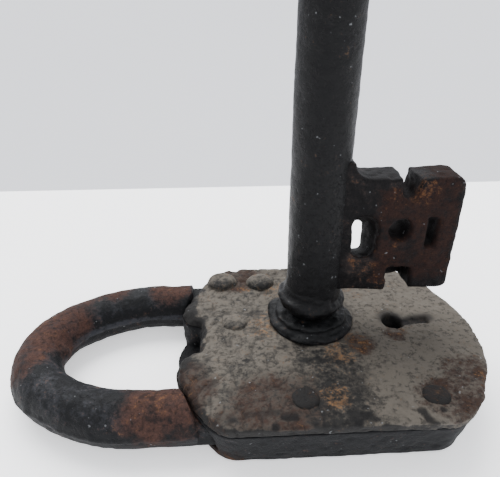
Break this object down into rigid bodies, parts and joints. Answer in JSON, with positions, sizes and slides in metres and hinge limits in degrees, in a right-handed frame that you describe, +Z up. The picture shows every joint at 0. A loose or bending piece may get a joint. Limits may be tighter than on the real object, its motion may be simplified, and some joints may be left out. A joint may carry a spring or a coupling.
{
  "type": "padlock",
  "caption": "Heavy riveted cast-iron padlock lying on its back, with a round-bar shackle and a large key standing in its face.",
  "frame": {"origin": "on the floor under the middle of the whole object, under the box that holds the lock, shackle and key", "axes": "+Z up out of the face and along the key's shank, -X toward the shackle's bend, +Y toward the leg that the shackle hinges on"},
  "size_m": [0.1604, 0.086, 0.194],
  "materials": {
    "case_iron": "rough dark cast iron",
    "face_iron": "worn, pitted grey cast iron with rust",
    "black_iron": "black painted cast iron with brown rust",
    "key_iron": "black painted cast iron, finely pitted",
    "rusty_iron": "black paint worn through to brown rust",
    "steel": "oiled machined steel",
    "brass": "dull turned brass"
  },
  "bodies": {
    "case": {"case_shell": "case_iron", "face_plate": "face_iron", "edge_rivets": "face_iron", "centre_rivet": "face_iron", "shoulder_rivet": "face_iron", "heel_pin": "face_iron", "heel_washers": "steel", "key_bush": "black_iron", "thrust_washer": "brass", "nose_guides": "steel", "bolt_keeper": "steel", "keeper_screws": "steel", "bolt_spring": "steel", "kick_spring": "steel", "spring_screws": "steel"},
    "shackle": {"shackle_bar": "black_iron", "heel_bush": "brass"},
    "rotor": {"lock_rotor": "steel", "crank_pin": "brass"},
    "bolt": {"locking_bolt": "steel", "bolt_nose": "steel", "nose_rivets": "brass"},
    "key": {"key_shank": "key_iron", "key_bit": "rusty_iron", "key_collar": "key_iron", "key_spigot": "steel", "key_bow": "key_iron", "bow_ferrule": "key_iron"}
  },
  "joints": [
    {"name": "shackle_swing", "type": "hinge", "parent": "case", "child": "shackle", "pos_m": [-0.00855, 0.0314, 0.009], "axis": [0, 0, -1], "range_deg": [0, 90]},
    {"name": "key_turn", "type": "hinge", "parent": "case", "child": "rotor", "pos_m": [0.02305, 0.005, 0.019], "axis": [0, 0, 1], "range_deg": [0, 90]},
    {"name": "key_lift", "type": "slide", "parent": "rotor", "child": "key", "axis": [0, 0, 1], "range_m": [0, 0.04]},
    {"name": "bolt_throw", "type": "slide", "parent": "case", "child": "bolt", "axis": [0, -1, 0], "range_m": [0, 0.00637]}
  ],
  "couplings": [
    {"joint": "bolt_throw", "follows": "key_turn", "m_per_rad": 0.0040514}
  ]
}
